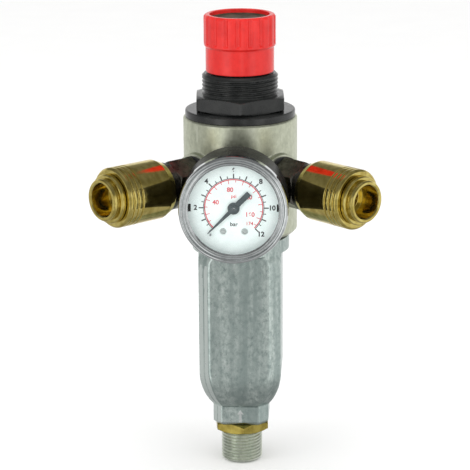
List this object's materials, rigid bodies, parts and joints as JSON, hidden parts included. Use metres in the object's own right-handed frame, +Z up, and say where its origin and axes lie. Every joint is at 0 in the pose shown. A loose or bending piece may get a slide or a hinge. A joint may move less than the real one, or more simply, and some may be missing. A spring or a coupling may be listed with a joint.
{
  "type": "carbon dioxide regulator",
  "caption": "Gas pressure regulator with filter bowl, front dial gauge, red setting knob and angled brass quick couplings.",
  "frame": {"origin": "centre of the inlet nipple's open lower end", "axes": "+Z up along the main axis to the knob, -Y out through the gauge's face, +X to the right seen from the front"},
  "size_m": [0.1112, 0.0832, 0.1848],
  "materials": {
    "bowl_casting": "blue-grey die casting, lightly mottled satin",
    "body_casting": "olive-grey painted casting, semi-gloss",
    "galvanised_steel": "pale grey-green zinc plate",
    "satin_brass": "satin, machined flats",
    "oxidised_brass": "dark chemical oxide",
    "polished_brass": "polished, turned",
    "steel": "bright drawn",
    "spring_steel": "drawn wire",
    "black_plastic": "glossy moulding",
    "red_plastic": "glossy moulding",
    "cap_plastic": "dark satin moulding",
    "white_plastic": "natural moulding",
    "filter_fleece": "sintered porous plastic",
    "seal_rubber": "matt",
    "chrome": "mirror plated",
    "case_enamel": "gloss black enamel",
    "lens_clear": "clear",
    "dial_white": "white print enamel with a printed scale",
    "pointer_black": "dark lacquer",
    "movement_brass": "stamped and cut sheet"
  },
  "bodies": {
    "root": {"inlet_nipple": "galvanised_steel", "lock_nut": "satin_brass", "lower_body": "bowl_casting", "bowl_seal": "seal_rubber", "filter_element": "filter_fleece", "filter_baffle": "white_plastic", "filter_stud": "steel", "filter_nut": "steel", "valve_guide": "white_plastic", "poppet_spring": "spring_steel", "diaphragm": "seal_rubber", "slip_ring": "white_plastic", "upper_body": "body_casting", "bonnet": "black_plastic", "main_spring": "spring_steel", "rear_plug_seal": "seal_rubber", "rear_plug": "satin_brass", "gauge_seal": "seal_rubber", "gauge_stem": "satin_brass", "gauge_case": "case_enamel", "gauge_bezel": "chrome", "gauge_lens": "lens_clear", "gauge_dial": "dial_white", "dial_screws": "steel", "dial_stop_pin": "steel", "movement_back_plate": "movement_brass", "movement_front_plate": "movement_brass", "bourdon_tube": "movement_brass", "left_port_seal": "seal_rubber", "left_adapter": "oxidised_brass", "left_nose_tube": "polished_brass", "left_lock_balls": "steel", "left_plug_seal": "seal_rubber", "left_check_spring": "spring_steel", "left_sleeve_spring": "spring_steel", "right_port_seal": "seal_rubber", "right_adapter": "oxidised_brass", "right_nose_tube": "polished_brass", "right_lock_balls": "steel", "right_plug_seal": "seal_rubber", "right_check_spring": "spring_steel", "right_sleeve_spring": "spring_steel"},
    "spindle": {"spindle": "satin_brass", "knob_screw": "steel"},
    "knob": {"knob": "red_plastic", "knob_cap": "cap_plastic"},
    "spring_nut": {"spring_nut": "satin_brass"},
    "valve_train": {"valve_stem": "steel", "valve_poppet": "satin_brass", "poppet_seal": "seal_rubber", "relief_seat": "satin_brass", "diaphragm_plate": "steel"},
    "pointer": {"pointer": "pointer_black", "pinion_arbor": "steel"},
    "sector": {"sector_gear": "movement_brass", "link_bar": "movement_brass"},
    "left_sleeve": {"left_sleeve": "polished_brass"},
    "right_sleeve": {"right_sleeve": "polished_brass"},
    "left_check_valve": {"left_check_valve": "satin_brass"},
    "right_check_valve": {"right_check_valve": "satin_brass"}
  },
  "joints": [
    {"name": "spindle_turn", "type": "hinge", "parent": "root", "child": "spindle", "pos_m": [0, 0, 0.15], "axis": [0, 0, 1], "range_deg": [-1440, 0]},
    {"name": "knob_lift", "type": "slide", "parent": "spindle", "child": "knob", "axis": [0, 0, 1], "range_m": [0, 0.0035]},
    {"name": "nut_travel", "type": "slide", "parent": "root", "child": "spring_nut", "axis": [0, 0, 1], "range_m": [-0.008, 0], "deforming": ["main_spring"]},
    {"name": "valve_stroke", "type": "slide", "parent": "root", "child": "valve_train", "axis": [0, 0, -1], "range_m": [0, 0.0012], "stiffness_N_per_m": 500, "springref_m": -0.004, "deforming": ["poppet_spring", "diaphragm"]},
    {"name": "pointer_turn", "type": "hinge", "parent": "root", "child": "pointer", "pos_m": [0, -0.05, 0.1192], "axis": [0, 1, 0], "range_deg": [0, 270], "stiffness_Nm_per_rad": 0.0001, "springref_deg": -28.65},
    {"name": "sector_turn", "type": "hinge", "parent": "root", "child": "sector", "pos_m": [0, -0.041, 0.1092], "axis": [0, 1, 0], "range_deg": [-38.6, 0]},
    {"name": "left_sleeve_pull", "type": "slide", "parent": "root", "child": "left_sleeve", "axis": [0.7071, 0.7071, 0], "range_m": [0, 0.0025], "stiffness_N_per_m": 800, "springref_m": -0.005, "deforming": ["left_sleeve_spring"]},
    {"name": "left_valve_push", "type": "slide", "parent": "root", "child": "left_check_valve", "axis": [0.7071, 0.7071, 0], "range_m": [0, 0.0045], "stiffness_N_per_m": 300, "springref_m": -0.004, "deforming": ["left_check_spring"]},
    {"name": "right_sleeve_pull", "type": "slide", "parent": "root", "child": "right_sleeve", "axis": [-0.7071, 0.7071, 0], "range_m": [0, 0.0025], "stiffness_N_per_m": 800, "springref_m": -0.005, "deforming": ["right_sleeve_spring"]},
    {"name": "right_valve_push", "type": "slide", "parent": "root", "child": "right_check_valve", "axis": [-0.7071, 0.7071, 0], "range_m": [0, 0.0045], "stiffness_N_per_m": 300, "springref_m": -0.004, "deforming": ["right_check_spring"]}
  ],
  "couplings": [
    {"joint": "spindle_turn", "follows": "nut_travel", "rad_per_m": 3141.6},
    {"joint": "sector_turn", "follows": "pointer_turn", "ratio": -0.14286}
  ]
}
